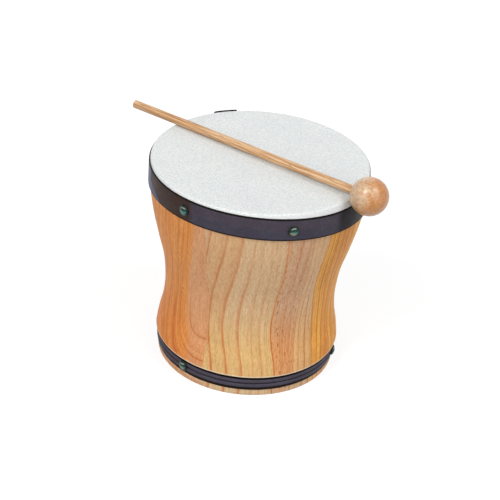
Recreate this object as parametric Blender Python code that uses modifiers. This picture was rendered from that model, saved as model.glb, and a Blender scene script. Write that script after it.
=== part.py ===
"""A waisted wooden hand drum of the bongo kind with its beater lying across the head.

The shell is turned from four glued quarter blocks. A skin is drawn over the rim and held by a
smooth vinyl band and domed tacks, a ribbed vinyl band sits in a groove above the foot, and the
beater is a wooden ball on a dowel. Units are metres, +Z is up. The origin is the middle of the
footprint of the drum with its beater, at the level of the foot.
"""

import math

import bmesh
import bpy
from mathutils import Matrix, Vector

FULL_TURN = 2 * math.pi

# Fits
GAP = 0.0003  # between pieces that touch
MERGE_DISTANCE = 0.00001
STEPS_PER_QUARTER = 20  # facets in a quarter turn of the drum
TACK_FACETS = 12
HOLE_FACETS = 8
DOWEL_FACETS = 16
BALL_FACETS = 24
BALL_RINGS = 14

# Skin head
HEAD_TOP_Z = 0.1658
SKIN_OUTER_RADIUS = 0.0816
SKIN_THICKNESS = 0.0010
SKIN_ROLL_RADIUS = 0.0015

# Outside of the shell: how far in from the skin, and how far below the head or above the foot
STEP_DROP = 0.0173  # to the step that the skin's lower edge stops above
SHOULDER_DROP = 0.0203
CHEST_INSET = 0.0032
CHEST_DROP = 0.0408
FLANK_INSET = 0.0080
FLANK_DROP = 0.0613
WAIST_TOP_INSET = 0.0132
WAIST_TOP_DROP = 0.0818
WAIST_INSET = 0.0155
WAIST_Z = 0.0610
WAIST_LOW_INSET = 0.0145
WAIST_LOW_Z = 0.0430
HIP_INSET = 0.0119
HIP_Z = 0.0300
LEDGE_INSET = 0.0102
LEDGE_Z = 0.0177
LEDGE_CHAMFER = 0.0007
FOOT_INSET = 0.0125
FOOT_TOP_Z = 0.0054
FOOT_CHAMFER = 0.0006
GROOVE_DEPTH = 0.0009

# Wall of the shell
RIM_ROUND = 0.0008
RIM_LAND = 0.0030
RIM_BEVEL = 0.0036
WALL_AT_RIM = 0.0090
WALL_AT_WAIST = 0.0100
WALL_AT_FOOT = 0.0105
JOINT_ANGLE = math.radians(-81.4)  # the glue joint left of the front

# Upper band, nailed on a little unevenly: it slopes down towards one angle and dips at that
# side and the opposite one. A strip covers its joint.
BAND_THICKNESS = 0.0008
BAND_TOP_DROP = 0.0040
BAND_HEIGHT = 0.0174
SKIN_BEHIND_BAND = 0.0123  # from the band's top edge to the skin's lower edge
SLANT_ANGLE = math.radians(33.8)
BAND_SLANT = 0.0025
BAND_DIP = 0.0014
COVER_THICKNESS = 0.0008
COVER_LENGTH = 0.0196
COVER_RISE = 0.0018  # how far it stands above the band
COVER_ANGLE = math.radians(146.0)

# Ribbed lower band
RIBBED_THICKNESS = 0.0014
RIB_HEIGHT = 0.0006
RIB_WIDTH = 0.0032
RIB_PITCH = 0.0041
RIB_COUNT = 2
RIB_FACETS = 4

# Tacks
TACK_HEAD_RADIUS = 0.0042
TACK_DOME = 0.0015
TACK_RIM = 0.0003
TACK_SHANK_RADIUS = 0.0008
TACK_LENGTH = 0.0090
UPPER_TACK_DROP = 0.0092  # below the band's top edge
UPPER_TACK_COUNT = 6
UPPER_TACK_FIRST = math.radians(-94.1)
UPPER_TACK_SECOND = math.radians(-37.3)
LOWER_TACK_LIFT = 0.0004  # above the middle of the ribbed band
LOWER_TACK_COUNT = 3
LOWER_TACK_FIRST = math.radians(-96.0)
LOWER_TACK_SECOND = math.radians(20.4)

# Beater
BALL_RADIUS = 0.0141
BALL_OUTSIDE = 0.0116  # from the band's outside to the ball's centre
DOWEL_RADIUS = 0.003175
DOWEL_REACH = 0.2163  # from the ball's centre to the free end
DOWEL_CHAMFER = 0.0003
BORE_DEPTH = 0.0190

# Radii and heights that follow from the sizes above
SEAT_RADIUS = SKIN_OUTER_RADIUS - SKIN_THICKNESS - GAP
SHOULDER_RADIUS = SKIN_OUTER_RADIUS
CHEST_RADIUS = SKIN_OUTER_RADIUS - CHEST_INSET
FLANK_RADIUS = SKIN_OUTER_RADIUS - FLANK_INSET
WAIST_TOP_RADIUS = SKIN_OUTER_RADIUS - WAIST_TOP_INSET
WAIST_RADIUS = SKIN_OUTER_RADIUS - WAIST_INSET
WAIST_LOW_RADIUS = SKIN_OUTER_RADIUS - WAIST_LOW_INSET
HIP_RADIUS = SKIN_OUTER_RADIUS - HIP_INSET
LEDGE_RADIUS = SKIN_OUTER_RADIUS - LEDGE_INSET
FOOT_RADIUS = SKIN_OUTER_RADIUS - FOOT_INSET
GROOVE_RADIUS = FOOT_RADIUS - GROOVE_DEPTH
RIM_Z = HEAD_TOP_Z - SKIN_THICKNESS - GAP
STEP_Z = HEAD_TOP_Z - STEP_DROP
SHOULDER_Z = HEAD_TOP_Z - SHOULDER_DROP
CHEST_Z = HEAD_TOP_Z - CHEST_DROP
FLANK_Z = HEAD_TOP_Z - FLANK_DROP
WAIST_TOP_Z = HEAD_TOP_Z - WAIST_TOP_DROP
BAND_INNER_RADIUS = SKIN_OUTER_RADIUS + GAP
BAND_OUTER_RADIUS = BAND_INNER_RADIUS + BAND_THICKNESS
BAND_TOP_Z = HEAD_TOP_Z - BAND_TOP_DROP
BAND_LOW_Z = BAND_TOP_Z - BAND_HEIGHT
SKIN_LOW_Z = BAND_TOP_Z - SKIN_BEHIND_BAND
COVER_INNER_RADIUS = BAND_OUTER_RADIUS + GAP
COVER_OUTER_RADIUS = COVER_INNER_RADIUS + COVER_THICKNESS
RIBBED_INNER_RADIUS = GROOVE_RADIUS + GAP
RIBBED_OUTER_RADIUS = RIBBED_INNER_RADIUS + RIBBED_THICKNESS
RIBBED_FACE_RADIUS = RIBBED_OUTER_RADIUS + RIB_HEIGHT
RIBBED_LOW_Z = FOOT_TOP_Z + GAP
RIBBED_TOP_Z = LEDGE_Z - GAP
LOWER_TACK_Z = (RIBBED_LOW_Z + RIBBED_TOP_Z) / 2 + LOWER_TACK_LIFT
SHANK_HOLE_RADIUS = TACK_SHANK_RADIUS + GAP
STEP_ANGLE = FULL_TURN / (4 * STEPS_PER_QUARTER)



def band_lift(angle):
    """How far the band stands above its mean height at an angle round the drum."""
    turn = angle - SLANT_ANGLE
    return -BAND_SLANT * math.cos(turn) - BAND_DIP * math.cos(2 * turn)


# The ball hangs outside the rim and rests on the skin's roll or on the band's edge
BALL_REACH = BAND_OUTER_RADIUS + BALL_OUTSIDE
ROLL_CENTRE_RADIUS = SKIN_OUTER_RADIUS - SKIN_ROLL_RADIUS
ROLL_CENTRE_Z = HEAD_TOP_Z - SKIN_ROLL_RADIUS
BALL_OVER_ROLL = math.sqrt(
    (BALL_RADIUS + SKIN_ROLL_RADIUS + GAP) ** 2 - (BALL_REACH - ROLL_CENTRE_RADIUS) ** 2
)
BALL_OVER_BAND = math.sqrt((BALL_RADIUS + GAP) ** 2 - BALL_OUTSIDE**2)
BALL_Z = max(ROLL_CENTRE_Z + BALL_OVER_ROLL, BAND_TOP_Z + band_lift(0) + BALL_OVER_BAND)
DOWEL_OVER_ROLL = DOWEL_RADIUS + SKIN_ROLL_RADIUS + GAP
DOWEL_TILT = math.atan2(
    BALL_Z - ROLL_CENTRE_Z - DOWEL_OVER_ROLL, BALL_REACH + ROLL_CENTRE_RADIUS
)
DOWEL_END_REACH = DOWEL_REACH * math.cos(DOWEL_TILT) - BALL_REACH
AXIS_X = (DOWEL_END_REACH - BALL_REACH - BALL_RADIUS) / 2

# Colours and finishes: base colour, roughness, metallic
FINISHES = {
    "varnished_pine": ((0.72, 0.42, 0.17, 1.0), 0.35, 0.0),
    "rawhide": ((0.78, 0.77, 0.73, 1.0), 0.70, 0.0),
    "black_vinyl": ((0.035, 0.028, 0.034, 1.0), 0.38, 0.0),
    "green_lacquer": ((0.03, 0.22, 0.17, 1.0), 0.25, 0.8),
    "waxed_beech": ((0.66, 0.38, 0.17, 1.0), 0.45, 0.0),
}


def clear_scene():
    for thing in list(bpy.data.objects):
        bpy.data.objects.remove(thing, do_unlink=True)


def new_collection(name):
    made = bpy.data.collections.new(name)
    bpy.context.scene.collection.children.link(made)
    return made


def new_material(name):
    colour, roughness, metallic = FINISHES[name]
    made = bpy.data.materials.new(name)
    made.use_nodes = True
    shader = made.node_tree.nodes["Principled BSDF"]
    shader.inputs["Base Color"].default_value = colour
    shader.inputs["Roughness"].default_value = roughness
    shader.inputs["Metallic"].default_value = metallic
    made.diffuse_color = colour
    return made


def add_object(name, mesh_data, collection, finish):
    """Writes the edited mesh to a smooth-shaded object standing on the drum's axis."""
    bmesh.ops.recalc_face_normals(mesh_data, faces=mesh_data.faces)
    mesh = bpy.data.meshes.new(name)
    mesh_data.to_mesh(mesh)
    mesh_data.free()
    mesh.shade_smooth()
    mesh.set_sharp_from_angle(angle=math.radians(32))
    made = bpy.data.objects.new(name, mesh)
    collection.objects.link(made)
    made.location = (AXIS_X, 0, 0)
    if finish:
        mesh.materials.append(finish)
    return made


def smooth_curve(points, steps):
    """Catmull-Rom points through (radius, height) pairs, the ends included."""
    ends = [points[0], *points, points[-1]]
    found = []
    for i in range(len(points) - 1):
        before, start, end, after = (Vector(p) for p in ends[i : i + 4])
        for step in range(steps):
            t = step / steps
            curve = 2 * start + (end - before) * t
            curve += (2 * before - 5 * start + 4 * end - after) * t * t
            curve += (3 * start - before - 3 * end + after) * t**3
            found.append(curve / 2)
    found.append(Vector(points[-1]))
    return found


def arc(centre, radius, start, end, steps):
    """Points on an arc in the radius-height plane, angles measured from the radius axis."""
    turns = (start + (end - start) * i / steps for i in range(steps + 1))
    return [
        Vector((centre[0] + radius * math.cos(t), centre[1] + radius * math.sin(t)))
        for t in turns
    ]


def turned(section, start, angle, steps):
    """A closed solid: the section, a loop of (radius, height) points, swept round the axis."""
    made = bmesh.new()
    corners = [made.verts.new((p[0], 0, p[1])) for p in section]
    edges = [made.edges.new((a, b)) for a, b in zip(corners, corners[1:] + corners[:1])]
    bmesh.ops.rotate(made, verts=corners, cent=(0, 0, 0), matrix=Matrix.Rotation(start, 3, "Z"))
    swept = bmesh.ops.spin(
        made, geom=corners + edges, cent=(0, 0, 0), axis=(0, 0, 1), angle=angle, steps=steps
    )
    last = [item for item in swept["geom_last"] if isinstance(item, bmesh.types.BMEdge)]
    for loop in (edges, last):
        bmesh.ops.contextual_create(made, geom=loop)
    return made


def turned_from_axis(profile, start, steps):
    """A closed solid: a profile that begins and ends on the axis, swept a full turn."""
    made = bmesh.new()
    points = [made.verts.new((p[0], 0, p[1])) for p in profile]
    for first, second in zip(points, points[1:]):
        made.edges.new((first, second))
    bmesh.ops.rotate(made, verts=points, cent=(0, 0, 0), matrix=Matrix.Rotation(start, 3, "Z"))
    bmesh.ops.spin(
        made,
        geom=made.verts[:] + made.edges[:],
        cent=(0, 0, 0),
        axis=(0, 0, 1),
        angle=FULL_TURN,
        steps=steps,
        use_merge=True,
    )
    bmesh.ops.remove_doubles(made, verts=made.verts, dist=MERGE_DISTANCE)
    return made


def follow_band(mesh_data):
    """Lifts and drops a strip round the drum as the band is nailed."""
    for vertex in mesh_data.verts:
        vertex.co.z += band_lift(math.atan2(vertex.co.y, vertex.co.x))
    return mesh_data


def shell_section():
    """The turned block's wall, from the rim down the outside and up the bore."""
    rim = arc((SEAT_RADIUS - RIM_ROUND, RIM_Z - RIM_ROUND), RIM_ROUND, math.pi / 2, 0, 3)
    step = [(SEAT_RADIUS, STEP_Z), (SHOULDER_RADIUS, STEP_Z)]
    outside = smooth_curve(
        [
            (SHOULDER_RADIUS, SHOULDER_Z),
            (CHEST_RADIUS, CHEST_Z),
            (FLANK_RADIUS, FLANK_Z),
            (WAIST_TOP_RADIUS, WAIST_TOP_Z),
            (WAIST_RADIUS, WAIST_Z),
            (WAIST_LOW_RADIUS, WAIST_LOW_Z),
            (HIP_RADIUS, HIP_Z),
            (LEDGE_RADIUS, LEDGE_Z + LEDGE_CHAMFER),
        ],
        2,
    )
    foot = [
        (LEDGE_RADIUS - LEDGE_CHAMFER, LEDGE_Z),
        (GROOVE_RADIUS, LEDGE_Z),
        (GROOVE_RADIUS, FOOT_TOP_Z),
        (FOOT_RADIUS, FOOT_TOP_Z),
        (FOOT_RADIUS, FOOT_CHAMFER),
        (FOOT_RADIUS - FOOT_CHAMFER, 0),
    ]
    bore = smooth_curve(
        [
            (FOOT_RADIUS - WALL_AT_FOOT, 0),
            (WAIST_RADIUS - WALL_AT_WAIST, WAIST_LOW_Z),
            (WAIST_TOP_RADIUS - WALL_AT_WAIST, WAIST_TOP_Z),
            (FLANK_RADIUS - WALL_AT_WAIST, FLANK_Z),
            (SEAT_RADIUS - WALL_AT_RIM, RIM_Z - RIM_BEVEL),
        ],
        2,
    )
    land = [(SEAT_RADIUS - RIM_ROUND - RIM_LAND, RIM_Z)]
    return [*rim, *step, *outside, *foot, *bore, *land]


def outward(angle, height):
    """Turns +Z to point away from the drum's axis at an angle, at a height."""
    return (
        Matrix.Translation((0, 0, height))
        @ Matrix.Rotation(angle, 4, "Z")
        @ Matrix.Rotation(math.pi / 2, 4, "Y")
    )


def new_cutter(name, mesh_data, cutters):
    made = add_object(name, mesh_data, cutters, None)
    made.hide_render = True
    made.display_type = "WIRE"
    return made


def rod(radius, length, start, facets):
    """A plain cylinder along +Z that begins at a height."""
    made = bmesh.new()
    bmesh.ops.create_cone(
        made, cap_ends=True, segments=facets, radius1=radius, radius2=radius, depth=length
    )
    bmesh.ops.translate(made, verts=made.verts, vec=(0, 0, start + length / 2))
    return made


def tack_hole(name, angle, height, face_radius, cutters):
    """A cutter for one tack's shank, from outside the bands into the wood."""
    depth = TACK_LENGTH + GAP
    hole = rod(SHANK_HOLE_RADIUS, depth + TACK_HEAD_RADIUS, face_radius - depth, HOLE_FACETS)
    bmesh.ops.transform(hole, verts=hole.verts, matrix=outward(angle, height))
    return new_cutter(name, hole, cutters)


def cut(piece, holes):
    for hole in holes:
        modifier = piece.modifiers.new(hole.name, "BOOLEAN")
        modifier.operation = "DIFFERENCE"
        modifier.solver = "EXACT"
        modifier.object = hole


def inside_sector(angle, start, size):
    return (angle - start) % FULL_TURN < size


def make_staves(collection, finish, holes):
    names = ("stave_front", "stave_right", "stave_back", "stave_left")
    half_gap = GAP / 2 / WAIST_RADIUS
    for index, name in enumerate(names):
        start = JOINT_ANGLE + index * FULL_TURN / 4
        solid = turned(
            shell_section(), start + half_gap, FULL_TURN / 4 - 2 * half_gap, STEPS_PER_QUARTER
        )
        stave = add_object(name, solid, collection, finish)
        cut(stave, [hole for angle, hole in holes if inside_sector(angle, start, FULL_TURN / 4)])


def make_head(collection, finish, holes):
    centre = (ROLL_CENTRE_RADIUS, ROLL_CENTRE_Z)
    profile = [
        (0, HEAD_TOP_Z),
        *arc(centre, SKIN_ROLL_RADIUS, math.pi / 2, 0, 4),
        (SKIN_OUTER_RADIUS, SKIN_LOW_Z),
        (SKIN_OUTER_RADIUS - SKIN_THICKNESS, SKIN_LOW_Z),
        *arc(centre, SKIN_ROLL_RADIUS - SKIN_THICKNESS, 0, math.pi / 2, 3),
        (0, HEAD_TOP_Z - SKIN_THICKNESS),
    ]
    skin = turned_from_axis(profile, JOINT_ANGLE, 4 * STEPS_PER_QUARTER)
    cut(add_object("head_skin", skin, collection, finish), [hole for _, hole in holes])


def strip(section, joint, opening):
    """A band bent once round the drum, its ends an opening apart at the joint's angle."""
    return turned(section, joint + opening / 2, FULL_TURN - opening, 4 * STEPS_PER_QUARTER)


def flat_section(inner, outer, low, high):
    return [(outer, high), (outer, low), (inner, low), (inner, high)]


def make_upper_band(collection, finish, holes, joint):
    section = flat_section(BAND_INNER_RADIUS, BAND_OUTER_RADIUS, BAND_LOW_Z, BAND_TOP_Z)
    opening = 2 * SHANK_HOLE_RADIUS / BAND_OUTER_RADIUS
    solid = follow_band(strip(section, joint, opening))
    band = add_object("upper_band", solid, collection, finish)
    cut(band, [hole for angle, hole in holes if angle != joint])


def make_band_cover(collection, finish, hole):
    section = flat_section(
        COVER_INNER_RADIUS, COVER_OUTER_RADIUS, BAND_LOW_Z, BAND_TOP_Z + COVER_RISE
    )
    angle = COVER_LENGTH / COVER_OUTER_RADIUS
    steps = max(2, round(angle / STEP_ANGLE))
    solid = follow_band(turned(section, COVER_ANGLE - angle / 2, angle, steps))
    cut(add_object("band_cover_strip", solid, collection, finish), [hole])


def ribbed_section():
    ribs = []
    middle = (RIBBED_TOP_Z + RIBBED_LOW_Z) / 2
    for index in range(RIB_COUNT):
        centre = middle + RIB_PITCH * ((RIB_COUNT - 1) / 2 - index)
        for step in range(RIB_FACETS + 1):
            turn = math.pi * step / RIB_FACETS
            radius = RIBBED_OUTER_RADIUS + RIB_HEIGHT * math.sin(turn)
            ribs.append((radius, centre + RIB_WIDTH / 2 * math.cos(turn)))
    return [
        (RIBBED_OUTER_RADIUS, RIBBED_TOP_Z),
        *ribs,
        (RIBBED_OUTER_RADIUS, RIBBED_LOW_Z),
        (RIBBED_INNER_RADIUS, RIBBED_LOW_Z),
        (RIBBED_INNER_RADIUS, RIBBED_TOP_Z),
    ]


def make_lower_band(collection, finish, holes, joint):
    opening = 2 * SHANK_HOLE_RADIUS / RIBBED_OUTER_RADIUS
    band = add_object("ribbed_band", strip(ribbed_section(), joint, opening), collection, finish)
    cut(band, [hole for angle, hole in holes if angle != joint])


def make_tack(name, angle, height, face_radius, collection, finish):
    """A domed tack: its shank points at the drum's axis, its head sits on the band."""
    dome_radius = (TACK_HEAD_RADIUS**2 + TACK_DOME**2) / (2 * TACK_DOME)
    half_angle = math.asin(TACK_HEAD_RADIUS / dome_radius)
    dome = [
        (dome_radius * math.sin(t), TACK_RIM + dome_radius * (math.cos(t) - math.cos(half_angle)))
        for t in (half_angle * i / 4 for i in range(5))
    ]
    profile = [
        *dome,
        (TACK_HEAD_RADIUS, 0),
        (TACK_SHANK_RADIUS, 0),
        (TACK_SHANK_RADIUS, -TACK_LENGTH + 2 * TACK_SHANK_RADIUS),
        (0, -TACK_LENGTH),
    ]
    tack = turned_from_axis(profile, 0, TACK_FACETS)
    bmesh.ops.translate(tack, verts=tack.verts, vec=(0, 0, face_radius + GAP))
    bmesh.ops.transform(tack, verts=tack.verts, matrix=outward(angle, height))
    return add_object(name, tack, collection, finish)


def make_beater(collection, cutters, finish):
    """The ball hangs just outside the rim and the dowel lies over the far side of it."""
    holder = bpy.data.objects.new("beater_rest", None)
    collection.objects.link(holder)
    holder.location = (AXIS_X + BALL_REACH, 0, BALL_Z)
    holder.rotation_euler = (0, -math.pi / 2 - DOWEL_TILT, 0)

    sphere = bmesh.new()
    bmesh.ops.create_uvsphere(
        sphere, u_segments=BALL_FACETS, v_segments=BALL_RINGS, radius=BALL_RADIUS
    )
    ball = add_object("beater_ball", sphere, collection, finish)
    bore_start = BALL_RADIUS - BORE_DEPTH
    bore = new_cutter(
        "beater_bore",
        rod(DOWEL_RADIUS + GAP, 2 * BALL_RADIUS, bore_start, DOWEL_FACETS),
        cutters,
    )
    dowel_start = bore_start + GAP
    dowel = add_object(
        "beater_dowel",
        rod(DOWEL_RADIUS, DOWEL_REACH - dowel_start, dowel_start, DOWEL_FACETS),
        collection,
        finish,
    )
    bevel = dowel.modifiers.new("end_chamfer", "BEVEL")
    bevel.width = DOWEL_CHAMFER
    bevel.segments = 1
    bevel.limit_method = "ANGLE"
    for piece in (ball, bore, dowel):
        piece.parent = holder
        piece.location = (0, 0, 0)
    cut(ball, [bore])


def spread(first, second, count):
    """Angles of a ring of tacks: two known ones and the rest evenly round the other way."""
    spacing = (FULL_TURN - (second - first)) / (count - 1)
    return [first] + [second + spacing * i for i in range(count - 1)]


def upper_tack_height(angle):
    return BAND_TOP_Z + band_lift(angle) - UPPER_TACK_DROP


def main():
    clear_scene()
    collection = new_collection("waisted_bongo_drum")
    cutters = new_collection("cutters")
    finishes = {name: new_material(name) for name in FINISHES}

    upper = spread(UPPER_TACK_FIRST, UPPER_TACK_SECOND, UPPER_TACK_COUNT)
    lower = spread(LOWER_TACK_FIRST, LOWER_TACK_SECOND, LOWER_TACK_COUNT)
    upper_joint = min(upper, key=lambda angle: abs(angle - COVER_ANGLE))
    lower_joint = min(lower, key=lambda angle: abs(angle - COVER_ANGLE))
    upper_holes = []
    for i, angle in enumerate(upper):
        hole = tack_hole(
            f"upper_hole_{i + 1}", angle, upper_tack_height(angle), BAND_OUTER_RADIUS, cutters
        )
        upper_holes.append((angle, hole))
    lower_holes = []
    for i, angle in enumerate(lower):
        hole = tack_hole(
            f"lower_hole_{i + 1}", angle, LOWER_TACK_Z, RIBBED_FACE_RADIUS, cutters
        )
        lower_holes.append((angle, hole))

    make_staves(collection, finishes["varnished_pine"], upper_holes + lower_holes)
    make_head(collection, finishes["rawhide"], upper_holes)
    make_upper_band(collection, finishes["black_vinyl"], upper_holes, upper_joint)
    make_band_cover(collection, finishes["black_vinyl"], dict(upper_holes)[upper_joint])
    make_lower_band(collection, finishes["black_vinyl"], lower_holes, lower_joint)
    lacquer = finishes["green_lacquer"]
    for i, angle in enumerate(upper):
        face = COVER_OUTER_RADIUS if angle == upper_joint else BAND_OUTER_RADIUS
        make_tack(f"upper_tack_{i + 1}", angle, upper_tack_height(angle), face, collection, lacquer)
    for i, angle in enumerate(lower):
        make_tack(
            f"lower_tack_{i + 1}", angle, LOWER_TACK_Z, RIBBED_FACE_RADIUS, collection, lacquer
        )
    make_beater(collection, cutters, finishes["waxed_beech"])


main()
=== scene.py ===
"""Dresses the waisted bongo drum and its beater: turned pine staves, a rawhide head, vinyl bands,
lacquered tacks and a wooden beater, on a pale studio floor. Units are metres, +Z is up."""

import bisect
import math

import bmesh
import bpy
from mathutils import Matrix, Vector


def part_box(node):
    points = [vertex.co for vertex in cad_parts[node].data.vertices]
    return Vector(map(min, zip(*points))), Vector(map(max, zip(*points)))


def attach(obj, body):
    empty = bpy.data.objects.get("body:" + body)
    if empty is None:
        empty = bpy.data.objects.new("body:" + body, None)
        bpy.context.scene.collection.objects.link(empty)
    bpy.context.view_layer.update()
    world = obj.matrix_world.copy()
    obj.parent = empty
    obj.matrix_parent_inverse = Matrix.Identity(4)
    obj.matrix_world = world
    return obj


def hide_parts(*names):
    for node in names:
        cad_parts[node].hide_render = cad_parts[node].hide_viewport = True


bl_info = {
    "name": "Waisted bongo drum",
    "version": (1, 0, 0),
    "blender": (4, 5, 0),
    "location": "View3D > Sidebar > Drum",
    "description": "Builds a tacked hand drum and its beater around a fixed frame",
    "category": "Add Mesh",
}

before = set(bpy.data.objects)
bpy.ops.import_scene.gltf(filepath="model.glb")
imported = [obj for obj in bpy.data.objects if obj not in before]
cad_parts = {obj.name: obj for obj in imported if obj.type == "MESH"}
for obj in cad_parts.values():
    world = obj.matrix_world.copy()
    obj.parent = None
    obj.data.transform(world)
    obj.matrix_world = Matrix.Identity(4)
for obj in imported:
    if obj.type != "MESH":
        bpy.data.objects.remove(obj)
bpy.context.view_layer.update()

FULL_TURN = 2 * math.pi
MM = 0.001

HEAD_LOW, HEAD_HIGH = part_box("head_skin")
RIBBED_LOW, RIBBED_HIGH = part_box("ribbed_band")
BALL_LOW, BALL_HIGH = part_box("beater_ball")
DOWEL_LOW, DOWEL_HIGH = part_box("beater_dowel")
AXIS_X = (HEAD_LOW.x + HEAD_HIGH.x) / 2
SKIN_RADIUS = (HEAD_HIGH.x - HEAD_LOW.x) / 2
HEAD_Z = HEAD_HIGH.z
STAVES = ("stave_front", "stave_right", "stave_back", "stave_left")
UPPER_TACKS = tuple(f"upper_tack_{i}" for i in range(1, 7))
LOWER_TACKS = tuple(f"lower_tack_{i}" for i in range(1, 4))
JOINT_ANGLE = math.radians(-81.4)

# Radius and height of the turned outside, from the shoulder under the band to the ledge
OUTSIDE = (
    (0.0816, 0.1455),
    (0.0784, 0.1250),
    (0.0736, 0.1045),
    (0.0684, 0.0840),
    (0.0661, 0.0610),
    (0.0671, 0.0430),
    (0.0697, 0.0300),
    (0.0714, 0.0184),
)
# Radius and height of the bore, from the foot to the rim
BORE = ((0.0586, 0.0), (0.0561, 0.043), (0.0584, 0.084), (0.0636, 0.1045), (0.0713, 0.1609))
SEAT_RADIUS = 0.0803
RIM_Z = 0.1645
STEP_Z = 0.1485
GROOVE_RADIUS = 0.0682
FOOT_RADIUS = 0.0691
FOOT_TOP_Z = 0.0054
LEDGE_Z = 0.0177
LEDGE_ROUND = 0.0007

# The band is nailed on a little unevenly: it slopes down towards one angle and dips at that side
# and the opposite one
BAND_TOP_Z = HEAD_Z - 0.0040
BAND_LOW_Z = BAND_TOP_Z - 0.0174
BAND_SLANT = 0.0025
BAND_DIP = 0.0014
SLANT_ANGLE = math.radians(33.8)
COVER_TOP_Z = BAND_TOP_Z + 0.0018
COVER_ANGLE = math.radians(146.0)
COVER_LENGTH = 0.0196
COVER_TAPER = 0.0023
RIB_SLOT = 0.0005
RIB_WIDTH = 0.0030
RIB_PITCH = 0.0041


class DrumSizes(bpy.types.PropertyGroup):
    skin_thickness: bpy.props.FloatProperty(
        name="Skin thickness", description="Thickness of the head's skin", default=0.0010,
        min=0.0002, unit="LENGTH",
    )
    skin_roll: bpy.props.FloatProperty(
        name="Rim roll", description="Radius of the skin's turn over the rim", default=0.0015,
        min=0.0002, unit="LENGTH",
    )
    band_thickness: bpy.props.FloatProperty(
        name="Band thickness", description="Thickness of the smooth band", default=0.0008,
        min=0.0002, unit="LENGTH",
    )
    rib_height: bpy.props.FloatProperty(
        name="Rib height", description="How far a rib of the lower band stands out",
        default=0.0006, min=0.0001, unit="LENGTH",
    )
    tack_radius: bpy.props.FloatProperty(
        name="Tack radius", description="Radius of a tack's domed head", default=0.0042,
        min=0.001, unit="LENGTH",
    )
    tack_dome: bpy.props.FloatProperty(
        name="Tack dome", description="Height of a tack's dome", default=0.0015,
        min=0.0005, unit="LENGTH",
    )
    dowel_radius: bpy.props.FloatProperty(
        name="Dowel radius", description="Radius of the beater's dowel", default=0.003175,
        min=0.001, unit="LENGTH",
    )


class DrumColours(bpy.types.PropertyGroup):
    pine: bpy.props.FloatVectorProperty(
        name="Pine", description="Pale wood between the growth rings", subtype="COLOR",
        size=3, min=0, max=1, default=(0.745, 0.53, 0.315),
    )
    pine_rose: bpy.props.FloatVectorProperty(
        name="Rose pine", description="Dusty rose wood in the middle of the front", subtype="COLOR",
        size=3, min=0, max=1, default=(0.70, 0.45, 0.28),
    )
    pine_orange: bpy.props.FloatVectorProperty(
        name="Orange pine", description="Deeper orange heartwood", subtype="COLOR",
        size=3, min=0, max=1, default=(0.81, 0.345, 0.10),
    )
    pine_gold: bpy.props.FloatVectorProperty(
        name="Golden pine", description="Golden heartwood at the right of the front",
        subtype="COLOR", size=3, min=0, max=1, default=(0.91, 0.49, 0.12),
    )
    pine_ring: bpy.props.FloatVectorProperty(
        name="Growth ring", description="Reddish late wood lines", subtype="COLOR",
        size=3, min=0, max=1, default=(0.58, 0.17, 0.04),
    )
    skin: bpy.props.FloatVectorProperty(
        name="Skin", description="Off-white head", subtype="COLOR",
        size=3, min=0, max=1, default=(0.76, 0.78, 0.765),
    )
    vinyl: bpy.props.FloatVectorProperty(
        name="Vinyl", description="Purplish black of the bands", subtype="COLOR",
        size=3, min=0, max=1, default=(0.062, 0.051, 0.068),
    )
    lacquer: bpy.props.FloatVectorProperty(
        name="Lacquer", description="Dark green of the tacks", subtype="COLOR",
        size=3, min=0, max=1, default=(0.006, 0.040, 0.030),
    )
    teal: bpy.props.FloatVectorProperty(
        name="Teal", description="Brighter patches of the tacks' lacquer", subtype="COLOR",
        size=3, min=0, max=1, default=(0.026, 0.140, 0.125),
    )
    brass: bpy.props.FloatVectorProperty(
        name="Brass", description="Metal that shows through the tacks' lacquer", subtype="COLOR",
        size=3, min=0, max=1, default=(0.300, 0.310, 0.210),
    )
    beech: bpy.props.FloatVectorProperty(
        name="Beater wood", description="Pale wood of the ball and dowel", subtype="COLOR",
        size=3, min=0, max=1, default=(0.63, 0.44, 0.265),
    )
    beech_warm: bpy.props.FloatVectorProperty(
        name="Warm beater wood", description="Orange wood of the ball and dowel",
        subtype="COLOR", size=3, min=0, max=1, default=(0.54, 0.22, 0.040),
    )


def new_object(name, mesh_data, node_names, body, material, smooth_angle=35):
    """Writes an edited mesh to a smooth object at the origin that stands for CAD nodes."""
    mesh = bpy.data.meshes.new(name)
    mesh_data.to_mesh(mesh)
    mesh_data.free()
    mesh.shade_smooth()
    mesh.set_sharp_from_angle(angle=math.radians(smooth_angle))
    mesh.materials.append(material)
    made = bpy.data.objects.new(name, mesh)
    bpy.context.scene.collection.objects.link(made)
    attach(made, body)
    if node_names:
        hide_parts(*node_names)
    return made


def smooth_curve(points, steps):
    """Catmull-Rom points through (radius, height) pairs, the ends included."""
    ends = [points[0], *points, points[-1]]
    found = []
    for i in range(len(points) - 1):
        before, start, end, after = (Vector(p) for p in ends[i : i + 4])
        for step in range(steps):
            t = step / steps
            curve = 2 * start + (end - before) * t
            curve += (2 * before - 5 * start + 4 * end - after) * t * t
            curve += (3 * start - before - 3 * end + after) * t**3
            found.append(curve / 2)
    found.append(Vector(points[-1]))
    return found


def arc(centre, radius, start, end, steps):
    """Points on an arc in the radius-height plane, angles from the radius axis in degrees."""
    turns = (math.radians(start + (end - start) * i / steps) for i in range(steps + 1))
    return [
        Vector((centre[0] + radius * math.cos(t), centre[1] + radius * math.sin(t)))
        for t in turns
    ]


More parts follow.
